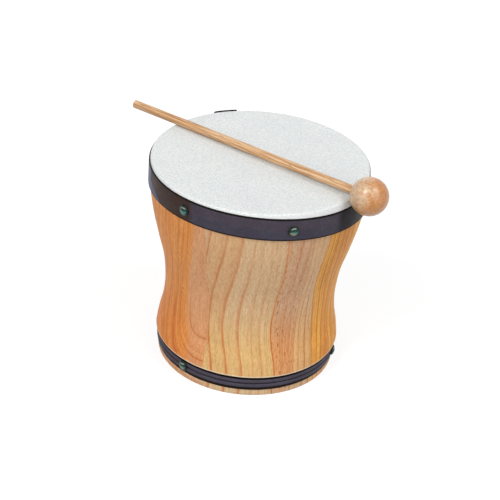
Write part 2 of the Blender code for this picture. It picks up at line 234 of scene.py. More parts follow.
def turned(section, start, angle, steps, closed_section=True):
    """The section, (radius, height) points, swept round the drum's axis, its ends closed."""
    made = bmesh.new()
    corners = [made.verts.new((p[0], 0, p[1])) for p in section]
    ends = corners[1:] + corners[:1] if closed_section else corners[1:]
    edges = [made.edges.new(pair) for pair in zip(corners, ends)]
    bmesh.ops.rotate(made, verts=corners, cent=(0, 0, 0), matrix=Matrix.Rotation(start, 3, "Z"))
    full = angle > FULL_TURN - 1e-6
    swept = bmesh.ops.spin(
        made, geom=corners + edges, cent=(0, 0, 0), axis=(0, 0, 1), angle=angle,
        steps=steps, use_merge=full,
    )
    if not full:
        last = [item for item in swept["geom_last"] if isinstance(item, bmesh.types.BMEdge)]
        for loop in (edges, last):
            bmesh.ops.contextual_create(made, geom=loop)
    bmesh.ops.remove_doubles(made, verts=made.verts, dist=1e-6)
    bmesh.ops.recalc_face_normals(made, faces=made.faces)
    return made


def to_drum_axis(mesh_data):
    bmesh.ops.translate(mesh_data, verts=mesh_data.verts, vec=(AXIS_X, 0, 0))
    return mesh_data


def follow_band(mesh_data):
    """Lifts and drops a strip round the drum as the band is nailed."""
    for vertex in mesh_data.verts:
        turn = math.atan2(vertex.co.y, vertex.co.x) - SLANT_ANGLE
        vertex.co.z -= BAND_SLANT * math.cos(turn) + BAND_DIP * math.cos(2 * turn)
    return mesh_data


def store(mesh_data, name, value):
    """Gives each vertex a value worked out from its place."""
    layer = mesh_data.verts.layers.float.new(name)
    for vertex in mesh_data.verts:
        vertex[layer] = value(vertex.co)


class Shader:
    """A small helper that adds nodes to one material and links them."""

    def __init__(self, name):
        self.material = bpy.data.materials.new(name)
        self.material.use_nodes = True
        self.tree = self.material.node_tree
        self.surface = self.tree.nodes["Principled BSDF"]

    def add(self, kind, settings=None, **inputs):
        node = self.tree.nodes.new(kind)
        for name, value in (settings or {}).items():
            setattr(node, name, value)
        for name, value in inputs.items():
            self.set(node, name.replace("_", " "), value)
        return node

    def set(self, node, name, value):
        socket = node.inputs[int(name)] if name.isdigit() else node.inputs[name]
        if isinstance(value, bpy.types.NodeSocket):
            self.tree.links.new(value, socket)
        else:
            socket.default_value = value

    def attribute(self, name):
        """A value that the piece's mesh carries at its vertices."""
        return self.add("ShaderNodeAttribute", {"attribute_name": name}).outputs["Fac"]

    def math(self, operation, first, second=0.0):
        node = self.add("ShaderNodeMath", {"operation": operation})
        self.set(node, "0", first)
        self.set(node, "1", second)
        return node.outputs[0]

    def place(self, location=(0, 0, 0), turn=0.0, stretch=(1, 1, 1)):
        """Object coordinates moved by -location, turned about Z and stretched."""
        coordinates = self.add("ShaderNodeTexCoord").outputs["Object"]
        moved = self.add("ShaderNodeVectorMath", {"operation": "SUBTRACT"})
        self.set(moved, "0", coordinates)
        self.set(moved, "1", location)
        mapping = self.add("ShaderNodeMapping")
        self.set(mapping, "Vector", moved.outputs[0])
        self.set(mapping, "Rotation", (0, 0, turn))
        self.set(mapping, "Scale", stretch)
        return mapping.outputs[0]

    def noise(self, vector, scale, detail=3.0, roughness=0.5, distortion=0.0):
        node = self.add("ShaderNodeTexNoise")
        for name, value in (
            ("Vector", vector), ("Scale", scale), ("Detail", detail),
            ("Roughness", roughness), ("Distortion", distortion),
        ):
            self.set(node, name, value)
        return node.outputs["Fac"]

    def ramp(self, factor, stops, interpolation="LINEAR"):
        node = self.add("ShaderNodeValToRGB")
        self.set(node, "Fac", factor)
        colours = node.color_ramp
        colours.interpolation = interpolation
        while len(colours.elements) < len(stops):
            colours.elements.new(0.5)
        for element, (position, colour) in zip(colours.elements, stops):
            element.position = position
            element.color = (*colour, 1) if len(colour) == 3 else colour
        return node.outputs["Color"]

    def fade(self, factor, low, high, start=0.0, end=1.0):
        node = self.add("ShaderNodeMapRange", {"interpolation_type": "SMOOTHSTEP"})
        for name, value in (
            ("Value", factor), ("From Min", low), ("From Max", high),
            ("To Min", start), ("To Max", end),
        ):
            self.set(node, name, value)
        return node.outputs[0]

    def mix(self, factor, first, second, blend="MIX"):
        node = self.add("ShaderNodeMix", {"data_type": "RGBA", "blend_type": blend})
        for socket, value in ((0, factor), (6, first), (7, second)):
            if isinstance(value, bpy.types.NodeSocket):
                self.tree.links.new(value, node.inputs[socket])
            else:
                padded = value if socket == 0 else (*value[:3], 1)
                node.inputs[socket].default_value = padded
        return node.outputs[2]

    def bump(self, height, strength, distance):
        node = self.add("ShaderNodeBump")
        self.set(node, "Height", height)
        self.set(node, "Strength", strength)
        self.set(node, "Distance", distance)
        self.set(self.surface, "Normal", node.outputs[0])

    def finish(self, colour, roughness, **constants):
        self.set(self.surface, "Base Color", colour)
        self.set(self.surface, "Roughness", roughness)
        for name, value in constants.items():
            self.set(self.surface, name.replace("_", " "), value)
        return self.material


def scaled(colour, factor):
    return tuple(min(1.0, channel * factor) for channel in colour[:3])


def sheet_distance(angle):
    """Distance across growth rings that stand in the block as flat upright sheets."""
    facing = Vector((math.cos(angle), math.sin(angle), 0))
    return lambda point: point.dot(facing)


def arch_distance(angle, heart, crown_z, flatness):
    """Distance from the heart of rings that close below a height in a squarish arch."""
    facing = Vector((math.cos(angle), math.sin(angle), 0))

    def distance(point):
        below = flatness * max(0.0, crown_z - point.z)
        return (abs(point.dot(facing) - heart) ** 3 + below**3) ** (1 / 3)

    return distance


def line_at(places, z):
    """Where one growth line stands at a height, from its places at the LINE_HEIGHTS."""
    if len(places) == 1:
        return places[0]
    spans = list(zip(LINE_HEIGHTS, LINE_HEIGHTS[1:]))
    index = next((i for i, (_, low) in enumerate(spans) if z >= low), len(spans) - 1)
    high, low = spans[index]
    t = min(max((high - z) / (high - low), 0.0), 1.0)
    before, start = places[max(index - 1, 0)], places[index]
    end, after = places[index + 1], places[min(index + 2, len(places) - 1)]
    curve = 2 * start + (end - before) * t + (2 * before - 5 * start + 4 * end - after) * t * t
    return (curve + (3 * start - before - 3 * end + after) * t**3) / 2


def grow_rings(mesh_data, distance, lines):
    """Stores each vertex's growth ring, a line standing at each whole number, and how dark the
    lines are there. A line's darkness changes with height as its place does."""
    ring = mesh_data.verts.layers.float.new("ring")
    dark = mesh_data.verts.layers.float.new("dark")
    for vertex in mesh_data.verts:
        place = distance(vertex.co) / MM
        stands = [line_at(places, vertex.co.z) for _, places in lines]
        index = min(max(bisect.bisect(stands, place), 1), len(lines) - 1)
        part = (place - stands[index - 1]) / (stands[index] - stands[index - 1])
        vertex[ring] = index + part
        part = min(max(part, 0.0), 1.0)
        before, after = (line_at(lines[i][0], vertex.co.z) for i in (index - 1, index))
        vertex[dark] = max(before * (1 - part) + after * part, 0.0)


def pine_material(name, colours, count, tones, seed, rosy=None, knots=()):
    """Varnished pine. The tones are pairs of colours, high up and near the foot, at growth
    rings, of which there are a count, with how many specks and how much fine grain the wood
    has there. A rosy colour, if given, fills the left stave's heart, and each place in knots
    has a dark pin knot."""
    shader = Shader(name)
    sway = shader.noise(shader.place((seed, 0, 0), 0, (1, 1, 0.25)), 60, 3)
    sway = shader.math("MULTIPLY", shader.math("SUBTRACT", sway, 0.5), 0.16)
    ring = shader.math("ADD", shader.attribute("ring"), sway)
    late = shader.ramp(
        shader.math("FRACT", ring),
        [
            (0.0, (1.0,) * 3), (0.035, (0.6,) * 3), (0.07, (0.0,) * 3), (0.55, (0.0,) * 3),
            (0.78, (0.16,) * 3), (0.88, (0.45,) * 3), (0.94, (1.0,) * 3),
        ],
    )
    uneven = shader.noise(shader.place((seed, 0.7, 0), 0, (1, 1, 0.5)), 90, 3, 0.6)
    late = shader.math("MULTIPLY", late, shader.fade(uneven, 0.3, 0.65, 0.72, 1.0))
    late = shader.math("MULTIPLY", late, shader.attribute("dark"))

    part = shader.math("DIVIDE", ring, count)
    high, low = (
        shader.ramp(part, [(place / count, pair[end]) for place, pair, *_ in tones])
        for end in (0, 1)
    )
    specks = shader.ramp(part, [(place / count, (speck,) * 3) for place, _, speck, _ in tones])
    grains = shader.ramp(part, [(place / count, (grain,) * 3) for place, *_, grain in tones])
    height = shader.add("ShaderNodeSeparateXYZ", Vector=shader.place()).outputs["Z"]
    tone = shader.mix(shader.fade(height, 0.085, 0.035), high, low)
    if rosy:
        across = shader.place((AXIS_X, 0, 0), -LEFT_FACING)
        across = shader.add("ShaderNodeSeparateXYZ", Vector=across).outputs["X"]
        off_heart = shader.math("ABSOLUTE", shader.math("SUBTRACT", across, LEFT_HEART))
        tone = shader.mix(shader.fade(off_heart, 0.013, 0.007, 0.0, 0.8), tone, rosy)
    foot = shader.fade(height, LEDGE_Z + 0.0004, LEDGE_Z - 0.0004)
    tone = shader.mix(shader.math("MULTIPLY", foot, 0.5), tone, (0.72, 0.60, 0.45))

    along = shader.add(
        "ShaderNodeCombineXYZ", X=shader.math("MULTIPLY", ring, 5.5), Y=seed,
        Z=shader.math("MULTIPLY", height, 14),
    )
    grain = shader.noise(along.outputs[0], 1, 4, 0.65)
    streak = shader.noise(shader.place((0.2, seed, 0), 0, (1, 1, 0.05)), 230, 3, 0.6)
    fibre = shader.noise(shader.place((0, seed, 0), 0, (1, 1, 0.05)), 950, 3, 0.65)
    pore = shader.noise(shader.place((0.6, seed, 0), 0, (1, 1, 0.35)), 1100, 2, 0.7)
    fleck = shader.noise(shader.place((0.4, seed, 0), 0, (1, 1, 0.22)), 900, 1)

    ringed = shader.mix(late, tone, colours.pine_ring)
    grain = shader.math("MULTIPLY", shader.fade(grain, 0.42, 0.68), grains)
    grained = shader.mix(grain, ringed, (0.72, 0.52, 0.34), "MULTIPLY")
    streaked = shader.mix(
        shader.fade(streak, 0.40, 0.75, 0.0, 0.4), grained, (0.84, 0.72, 0.60), "MULTIPLY"
    )
    fibred = shader.mix(
        shader.fade(fibre, 0.38, 0.66, 0.0, 0.5), streaked, (0.76, 0.66, 0.58), "MULTIPLY"
    )
    pored = shader.mix(
        shader.fade(pore, 0.40, 0.64, 0.0, 0.45), fibred, (0.76, 0.68, 0.60), "MULTIPLY"
    )
    fleck = shader.math("MULTIPLY", shader.fade(fleck, 0.62, 0.71), specks)
    flecked = shader.mix(fleck, pored, scaled(colours.pine_ring, 0.55))
    for knot in knots:
        near = shader.add("ShaderNodeVectorMath", {"operation": "DISTANCE"})
        shader.set(near, "0", shader.place())
        shader.set(near, "1", knot)
        dot = shader.fade(near.outputs["Value"], 0.0010, 0.0004, 0.0, 0.85)
        flecked = shader.mix(dot, flecked, scaled(colours.pine_ring, 0.25))
    # Painted highlight: a pale line along the rounded edge just above the ledge.
    edge = shader.fade(height, LEDGE_Z + 0.0016, LEDGE_Z + 0.0008, 0.0, 0.6)
    edge = shader.math("MULTIPLY", edge, shader.math("SUBTRACT", 1.0, foot))
    edged = shader.mix(edge, flecked, (0.90, 0.80, 0.62))
    shader.bump(shader.math("ADD", late, fibre), 0.12, 0.0001)
    return shader.finish(
        edged, shader.fade(fibre, 0.2, 0.8, 0.46, 0.58), Specular_IOR_Level=0.14
    )


def skin_material(colours):
    """Thin hide with a fine cool fleck, a painted highlight where it turns down behind the band,
    and painted shade over the rim at the back and right, where it is greyer."""
    shader = Shader("rawhide")
    cloud = shader.noise(shader.place(), 30, 4, 0.6)
    mottle = shader.noise(shader.place((0.2, 0, 0)), 380, 3, 0.65)
    speck = shader.noise(shader.place((0.5, 0, 0)), 1150, 2, 0.6)
    fibre = shader.noise(shader.place((0, 0, 0), 0.6, (1, 5, 1)), 600, 3, 0.7)
    base = shader.mix(shader.fade(cloud, 0.3, 0.7), colours.skin, scaled(colours.skin, 0.94))
    mottled = shader.mix(shader.fade(mottle, 0.42, 0.66, 0.0, 0.6), base, (0.66, 0.69, 0.70))
    fine = shader.mix(shader.fade(fibre, 0.5, 0.8, 0.0, 0.5), mottled, (0.66, 0.66, 0.60))
    specked = shader.mix(shader.fade(speck, 0.46, 0.65, 0.0, 0.9), fine, (0.54, 0.57, 0.58))
    height = shader.add("ShaderNodeSeparateXYZ", Vector=shader.place()).outputs["Z"]
    # Painted highlight: the skin is paler where it turns down over the rim.
    turned_down = shader.fade(height, HEAD_Z - 0.0004, HEAD_Z - 0.0020, 0.0, 0.9)
    highlighted_turn = shader.mix(turned_down, specked, (0.84, 0.85, 0.84))
    # Painted shade: a grey line over the rim at the back and right, where the rounded edge turns
    # away from the lamps.
    across = shader.place((AXIS_X, 0, 0), -math.radians(75))
    radius = shader.add("ShaderNodeVectorMath", {"operation": "LENGTH"})
    flat = shader.add("ShaderNodeVectorMath", {"operation": "MULTIPLY"})
    shader.set(flat, "0", across)
    shader.set(flat, "1", (1, 1, 0))
    shader.set(radius, "0", flat.outputs[0])
    rim = shader.fade(radius.outputs["Value"], SKIN_RADIUS - 0.0012, SKIN_RADIUS - 0.0006)
    across = shader.add("ShaderNodeSeparateXYZ", Vector=across).outputs["X"]
    shaded_side = shader.fade(across, 0.2 * SKIN_RADIUS, 0.7 * SKIN_RADIUS, 0.0, 0.75)
    rim_shaded = shader.mix(shader.math("MULTIPLY", rim, shaded_side), highlighted_turn, (0.22, 0.21, 0.25))
    shader.bump(shader.math("ADD", mottle, fibre), 0.25, 0.00015)
    return shader.finish(
        rim_shaded, shader.fade(mottle, 0.3, 0.8, 0.55, 0.75), Subsurface_Weight=0.08,
        Subsurface_Scale=0.002,
    )


def vinyl_material(colours, name, tone, edge, brown_reflection_share):
    """Black vinyl with a painted brown reflection at the left, where a painted bluish reflection
    runs out along it, and painted shadow of the beater's ball making it nearly black at the right.
    Its mesh carries a height from 0 to 1; low heights are painted bluish as a reflection, and an
    edge's
    share at either end is black: the vinyl's cut edges, with painted shade along them."""
    shader = Shader(name)
    mottle = shader.noise(shader.place(), 90, 4, 0.6)
    scuff = shader.noise(shader.place((0.1, 0, 0), 0, (1, 1, 8)), 120, 4, 0.7)
    grain = shader.noise(shader.place((0.3, 0, 0)), 800, 3, 0.6)
    middle = (AXIS_X, 0, 0)
    sides = []
    for angle in (-146, 5):
        turned_place = shader.place(middle, math.radians(-angle))
        sides.append(shader.add("ShaderNodeSeparateXYZ", Vector=turned_place).outputs)
    # Painted reflection: brown over the left part of the band.
    painted_brown_reflection = shader.fade(sides[0]["X"], 0.54 * SKIN_RADIUS, 0.60 * SKIN_RADIUS, 0.0, brown_reflection_share)
    # Painted shadow: the beater's ball darkens the band at the right.
    painted_ball_shadow = shader.fade(sides[1]["X"], 0.965 * SKIN_RADIUS, 0.99 * SKIN_RADIUS, 0.0, 0.85)
    height = shader.attribute("height")
    vinyl = scaled(colours.vinyl, tone)
    bluish = (vinyl[0] * 0.86, vinyl[1] * 0.98, vinyl[2] * 1.04)
    brown = (vinyl[0] * 0.62, vinyl[1] * 0.38, vinyl[2] * 0.17)
    # Painted reflection: the lower part of the band is bluish.
    lower_blue_reflection = shader.mix(shader.fade(height, 0.60, 0.35), vinyl, bluish)
    base = shader.mix(painted_brown_reflection, lower_blue_reflection, brown)
    mottled = shader.mix(shader.fade(mottle, 0.35, 0.7, 0.0, 0.4), base, scaled(vinyl, 0.55))
    wear_and_reflection = shader.mix(shader.fade(scuff, 0.55, 0.75, 0.0, 0.35), mottled, scaled(vinyl, 2.0))
    grained = shader.mix(shader.fade(grain, 0.4, 0.7, 0.0, 0.4), wear_and_reflection, scaled(vinyl, 0.4))
    lean = shader.math("MINIMUM", shader.math("MULTIPLY", height, 0.25), 0.125)
    lean = shader.math("MULTIPLY", lean, SKIN_RADIUS)
    leaning = shader.math("SUBTRACT", sides[0]["X"], lean)
    # Painted shade of a crease: a dark line along the inside of the bluish reflection.
    painted_crease_shade = shader.fade(leaning, 0.815 * SKIN_RADIUS, 0.832 * SKIN_RADIUS, 0.0, 0.6)
    crease_shaded = shader.mix(painted_crease_shade, grained, scaled(brown, 0.1))
    # Painted reflection: a bluish shine that runs out along the band's left end.
    painted_blue_reflection = shader.fade(leaning, 0.832 * SKIN_RADIUS, 0.852 * SKIN_RADIUS, 0.0, 0.9)
    near = shader.fade(sides[0]["Y"], -0.35 * SKIN_RADIUS, -0.02 * SKIN_RADIUS)
    painted_blue_reflection = shader.math("MULTIPLY", painted_blue_reflection, near)
    blue_reflected = shader.mix(painted_blue_reflection, crease_shaded, (0.085, 0.100, 0.175))
    # Painted shade along the top and bottom edges, where the vinyl's cut edges are black too.
    above = shader.fade(height, 1 - edge, 1 - edge / 2)
    below = shader.fade(height, edge, edge / 2)
    black = shader.math("MAXIMUM", shader.math("ADD", above, below), painted_ball_shadow)
    edged = shader.mix(black, blue_reflected, scaled(brown, 0.1))
    shader.bump(shader.math("ADD", grain, shader.math("MULTIPLY", scuff, 1.5)), 0.2, 0.0001)
    return shader.finish(
        edged, shader.fade(mottle, 0.3, 0.7, 0.36, 0.48), Specular_IOR_Level=0.07
    )


def lacquer_material(colours):
    """Green lacquer over brass, with a painted reflection: pale on the lower half and in a crescent
    near the top, and dark between them. Painted shade darkens it where the rim meets the band."""
    shader = Shader("green_lacquer")
    patch = shader.noise(shader.place((0.51, 0, 0)), 260, 2, 0.5, 0.6)
    rub = shader.noise(shader.place((0.9, 0, 0)), 900, 3)
    dark = colours.lacquer
    low = shader.mix(
        shader.fade(patch, 0.46, 0.62), scaled(colours.teal, 1.3), scaled(colours.brass, 0.8)
    )
    sway = shader.math("MULTIPLY", shader.math("SUBTRACT", patch, 0.5), 0.7)
    rise = shader.math("ADD", shader.attribute("rise"), sway)
    # Painted reflection across the dome, by height: teal and brass on the lower half, dark above
    # it, a pale brass crescent near the top, and teal at the top.
    upper = shader.mix(shader.fade(rise, 0.44, 0.52), dark, scaled(colours.brass, 1.4))
    upper = shader.mix(shader.fade(rise, 0.56, 0.66), upper, colours.teal)
    wear_and_reflection = shader.mix(shader.fade(rise, -0.08, 0.12), low, upper)
    rubbed = shader.mix(shader.fade(rub, 0.45, 0.7, 0.0, 0.4), wear_and_reflection, dark)
    # Painted shade: near black round the rim, where it meets the band.
    edge = shader.fade(shader.attribute("edge"), 0.58, 0.82, 0.0, 0.98)
    shaded = shader.mix(edge, rubbed, (0.004, 0.008, 0.007))
    shader.bump(shader.math("ADD", patch, shader.math("MULTIPLY", rub, 0.3)), 0.25, 0.0002)
    return shader.finish(
        shaded, shader.fade(patch, 0.3, 0.7, 0.18, 0.30), Metallic=0.2, Coat_Weight=0.2,
        Coat_Roughness=0.08, Specular_IOR_Level=0.1,
    )


def beater_grain(shader, direction, stretch, shift=0.0):
    """Object coordinates whose first axis runs along a direction in the XZ plane."""
    mapping = shader.add("ShaderNodeMapping")
    shader.set(mapping, "Vector", shader.add("ShaderNodeTexCoord").outputs["Object"])
    shader.set(mapping, "Location", (shift, 0, 0))
    shader.set(mapping, "Rotation", (0, direction, 0))
    shader.set(mapping, "Scale", (stretch, 1, 1))
    return mapping.outputs[0]


def dowel_material(colours, direction):
    """Straight hardwood with fine pale and orange lines along it."""
    shader = Shader("dowel_wood")
    along = beater_grain(shader, direction, 0.03, 0.0093)
    band = shader.noise(along, 700, 3, 0.7)
    fibre = shader.noise(along, 1300, 2, 0.65)
    spot = shader.noise(beater_grain(shader, direction, 0.12), 900, 1)
    warm = tuple((a + b) / 2 for a, b in zip(colours.beech, colours.beech_warm))
    base = shader.mix(shader.fade(band, 0.36, 0.64), scaled(colours.beech, 1.15), warm)
    fibred = shader.mix(
        shader.fade(fibre, 0.40, 0.60, 0.0, 0.9), base, (0.62, 0.50, 0.40), "MULTIPLY"
    )
    spotted = shader.mix(
        shader.fade(spot, 0.64, 0.74, 0.0, 0.5), fibred, scaled(colours.beech_warm, 0.3)
    )
    shader.bump(fibre, 0.15, 0.0001)
    return shader.finish(
        spotted, shader.fade(fibre, 0.3, 0.8, 0.40, 0.52), Specular_IOR_Level=0.25
    )


def ball_material(colours, centre):
    """Turned and varnished ball, paler on the side towards the handle, partly in the wood's own
    colour and partly as painted light from the lamp on that side.
    """
    shader = Shader("ball_wood")
    across = shader.place(centre, -math.radians(33.9))
    across = shader.add("ShaderNodeSeparateXYZ", Vector=across).outputs
    drop = shader.math("MULTIPLY", across["Z"], 0.3)
    side = shader.math("SUBTRACT", across["X"], drop)
    along = beater_grain(shader, math.pi / 2, 0.25)
    band = shader.noise(along, 170, 4, 0.7)
    mottle = shader.noise(shader.place((0.1, 0, 0)), 620, 3, 0.7)
    fibre = shader.noise(beater_grain(shader, math.pi / 2, 0.06), 1300, 2, 0.6)
    spread = shader.math("MULTIPLY", shader.math("SUBTRACT", band, 0.5), 0.05)
    # Painted light, partly: the side towards the handle is paler, where the lamp on that side
    # lights the ball.
    placed = shader.math("ADD", side, spread)
    base = shader.mix(
        shader.fade(placed, -0.014, 0.006), colours.beech, colours.beech_warm
    )
    streaked = shader.mix(
        shader.fade(fibre, 0.40, 0.65, 0.0, 0.5), base, (0.78, 0.66, 0.56), "MULTIPLY"
    )
    mottled = shader.mix(
        shader.fade(mottle, 0.40, 0.64, 0.0, 1.0), streaked, (0.72, 0.62, 0.54), "MULTIPLY"
    )
    shader.bump(mottle, 0.2, 0.0001)
    return shader.finish(
        mottled, shader.fade(mottle, 0.3, 0.8, 0.38, 0.5), Coat_Weight=0.9, Coat_Roughness=0.32
    )


def stave_section():
    rim = arc((SEAT_RADIUS - 0.0008, RIM_Z - 0.0008), 0.0008, 90, 0, 6)
    step = [Vector((SEAT_RADIUS, STEP_Z)), Vector((OUTSIDE[0][0], STEP_Z))]
    outside = smooth_curve(OUTSIDE, 10)
    ledge = arc((OUTSIDE[-1][0] - LEDGE_ROUND, LEDGE_Z + LEDGE_ROUND), LEDGE_ROUND, 0, -90, 4)
    foot = [
        Vector((GROOVE_RADIUS, LEDGE_Z)),
        Vector((GROOVE_RADIUS, FOOT_TOP_Z)),
        *arc((FOOT_RADIUS - 0.0003, FOOT_TOP_Z - 0.0003), 0.0003, 90, 0, 3),
        *arc((FOOT_RADIUS - 0.0006, 0.0006), 0.0006, 0, -90, 4),
    ]
    bore = smooth_curve(BORE, 8)
    land = [Vector((SEAT_RADIUS - 0.0038, RIM_Z))]
    return [*rim, *step, *outside[:-1], *ledge, *foot, *bore, *land]


# The left stave's rings stand across this direction, round a heart at this distance along it
LEFT_FACING = math.radians(33.9)
LEFT_HEART = -0.033

# The colour of its heart, and a pin knot on it
ROSY_HEART = (0.745, 0.38, 0.19)
KNOT_ANGLE = math.radians(-103.2)
KNOT = (AXIS_X + 0.0675 * math.cos(KNOT_ANGLE), 0.0675 * math.sin(KNOT_ANGLE), 0.0765)

# Each growth line has its darkness and, in millimetres across the stave's rings, its place,
# both given at the LINE_HEIGHTS or as one value where they don't change
LINE_HEIGHTS = (0.140, 0.105, 0.060, 0.020)
FRONT_LINES = (
    ((0.5,), (-69.0,)),
    ((0.7,), (-61.6, -61.0, -60.5, -60.0)),
    ((0.45, 0.6, 0.8, 0.85), (-52.9, -53.3, -52.4, -51.8)),
    ((0.45, 0.65, 0.75, 0.85), (-43.7, -44.0, -44.8, -42.6)),
    ((0.35, 0.5, 0.65, 0.85), (-35.4, -35.1, -35.8, -32.9)),
    ((0.2, 0.2, 0.25, 0.4), (-30.7, -27.8, -26.4, -24.8)),
    ((0.3, 0.4, 0.5, 0.65), (-23.6, -20.7, -21.4, -18.4)),
    ((0.2,), (-18.6, -17.0, -17.6, -14.4)),
    ((0.3, 0.45, 0.9, 1.0), (-13.2, -11.7, -13.2, -9.3)),
    ((0.4,), (-2.2, -2.6, -3.5, -3.0)),
    ((0.4, 0.3, 0.15, 0.2), (4.5, 3.5, 1.5, 1.5)),
    ((0.6, 0.5, 0.5, 0.6), (7.3, 7.6, 6.9, 6.0)),
    ((0.4, 0.5, 0.7, 0.7), (10.9, 12.2, 10.7, 10.6)),
    ((0.4, 0.5, 0.7, 0.8), (15.6, 14.7, 15.9, 17.0)),
    ((0.6, 0.8, 0.8, 0.8), (21.5, 18.0, 22.4, 23.6)),
    ((0.7,), (25.5, 25.0, 28.5, 29.0)),
    ((0.7,), (30.5, 30.0, 33.5, 34.0)),
    ((0.7,), (36.0, 35.5, 38.5, 39.0)),
    ((0.7,), (41.5, 41.0, 43.5, 44.0)),
    ((0.7,), (47.0, 47.0, 48.5, 49.0)),
    ((0.6,), (53.0, 53.0, 53.5, 54.0)),
)
LEFT_LINES = (
    ((0.0,), (2.0, 3.0, 4.0, 4.0)),
    ((0.25, 0.0, 0.7, 0.8), (7.3, 9.4, 10.3, 10.3)),
    ((0.25, 0.05, 0.1, 0.15), (12.6, 13.5, 14.5, 14.5)),
    ((0.2, 0.1, 0.6, 1.0), (16.4, 17.2, 18.0, 19.3)),
    ((0.1, 0.15, 0.7, 0.5), (21.5, 21.8, 22.1, 26.0)),
    ((0.35, 0.2, 0.2, 0.4), (28.3, 26.0, 27.0, 31.0)),
    ((0.2,), (33.0,)),
    ((0.3,), (38.0,)),
    ((0.3,), (43.0,)),
    ((0.3,), (51.0,)),
)
RIGHT_LINES = tuple(
    ((0.5 + 0.2 * math.sin(3.1 * i),), (-60 + 8.2 * i + 1.6 * math.sin(1.9 * i),))
    for i in range(19)
)
BACK_LINES = tuple(
    ((0.5 + 0.2 * math.sin(2.7 * i),), (36 + 5.6 * i + 1.2 * math.sin(2.3 * i),))
    for i in range(10)
)


def tinted(colour, tint):
    """A wood colour and its tone near the foot."""
    return colour[:], tuple(a * b for a, b in zip(colour, tint))


def between(first, second, share=0.5):
    """The pair of colours that lies a share of the way from one pair to another."""
    return tuple(
        tuple(a * (1 - share) + b * share for a, b in zip(*ends)) for ends in zip(first, second)
    )


def stave_cuts(colours):
    """Each stave's distance across its rings, its growth lines, and at rings its colours and
    its share of specks and of fine grain."""
    pale = tinted(colours.pine, (0.993, 0.938, 0.695))
    warm = (tinted(colours.pine, (0.985, 0.87, 0.78))[1], pale[1])
    rose = tinted(colours.pine_rose, (1.05, 0.81, 0.56))
    orange = tinted(colours.pine_orange, (1.0, 0.93, 0.85))
    gold = tinted(colours.pine_gold, (1.0, 0.95, 0.85))
    beige = between(tinted(scaled(colours.pine, 1.08), (1.0, 0.95, 0.74)), rose, 0.3)
    ember = between(gold, orange, 0.45)
    amber = between(rose, orange, 0.65)
    blush = between(rose, orange, 0.15)
    brick = between(rose, orange, 0.5)
    red = tinted(scaled(colours.pine_orange, 0.92), (1.0, 0.80, 0.70))
    return {
        "stave_front": (
            sheet_distance(math.radians(61.2)),
            FRONT_LINES,
            [(1.9, pale, 0.1, 0.2), (2.2, warm, 0.1, 0.2), (3.9, warm, 0.1, 0.2),
             (4.2, pale, 0.1, 0.2), (6.5, pale, 0.1, 0.3), (8.85, pale, 0.4, 0.4),
             (8.95, brick, 0.5, 0.4), (9.06, brick, 0.7, 0.4), (9.16, rose, 0.8, 0.4),
             (11.6, rose, 0.7, 0.4), (12.2, beige, 0.3, 0.4), (14.9, beige, 0.1, 0.5),
             (15.05, gold, 0.1, 0.9), (16.6, gold, 0.1, 1.0), (17.6, ember, 0.1, 1.0),
             (21.0, ember, 0.1, 1.0)],
        ),
        "stave_right": (
            sheet_distance(math.radians(95)),
            RIGHT_LINES,
            [(2, rose, 0.2, 0.4), (6, gold, 0.1, 0.9), (12, gold, 0.1, 0.9),
             (14, pale, 0.1, 0.4), (16, rose, 0.4, 0.4), (18, orange, 0.1, 0.7)],
        ),
        "stave_back": (
            sheet_distance(math.radians(141)),
            BACK_LINES,
            [(1, orange, 0.1, 0.7), (4, rose, 0.4, 0.4), (6, pale, 0.1, 0.3),
             (10, pale, 0.1, 0.3)],
        ),
        "stave_left": (
            arch_distance(LEFT_FACING, LEFT_HEART, 0.0626, 0.495),
            LEFT_LINES,
            [(1.0, blush, 0.2, 0.1), (2.0, blush, 0.2, 0.1), (2.4, amber, 0.1, 0.2),
             (2.9, orange, 0.1, 0.4), (4.6, orange, 0.1, 0.8), (5.0, red, 0.1, 0.8),
             (5.5, orange, 0.1, 0.8), (7.0, orange, 0.1, 0.8), (10, red, 0.1, 0.8)],
        ),
    }


class DRUM_OT_shell(bpy.types.Operator):
    """Turns the four glued staves and gives each its own cut of pine"""

    bl_idname = "drum.shell"
    bl_label = "Shell staves"

    def execute(self, context):
        colours = context.scene.drum_colours
        cuts = stave_cuts(colours)
        seam = 0.00003 / SEAT_RADIUS
        for index, name in enumerate(STAVES):
            distance, lines, tones = cuts[name]
            start = JOINT_ANGLE + index * FULL_TURN / 4 + seam
            solid = turned(stave_section(), start, FULL_TURN / 4 - 2 * seam, 90)
            grow_rings(solid, distance, lines)
            extras = (ROSY_HEART, (KNOT,)) if name == "stave_left" else ()
            material = pine_material(
                f"pine_{name}", colours, len(lines), tones, 0.13 * index, *extras
            )
            new_object(f"{name}_wood", to_drum_axis(solid), (name,), "drum", material)
        return {"FINISHED"}


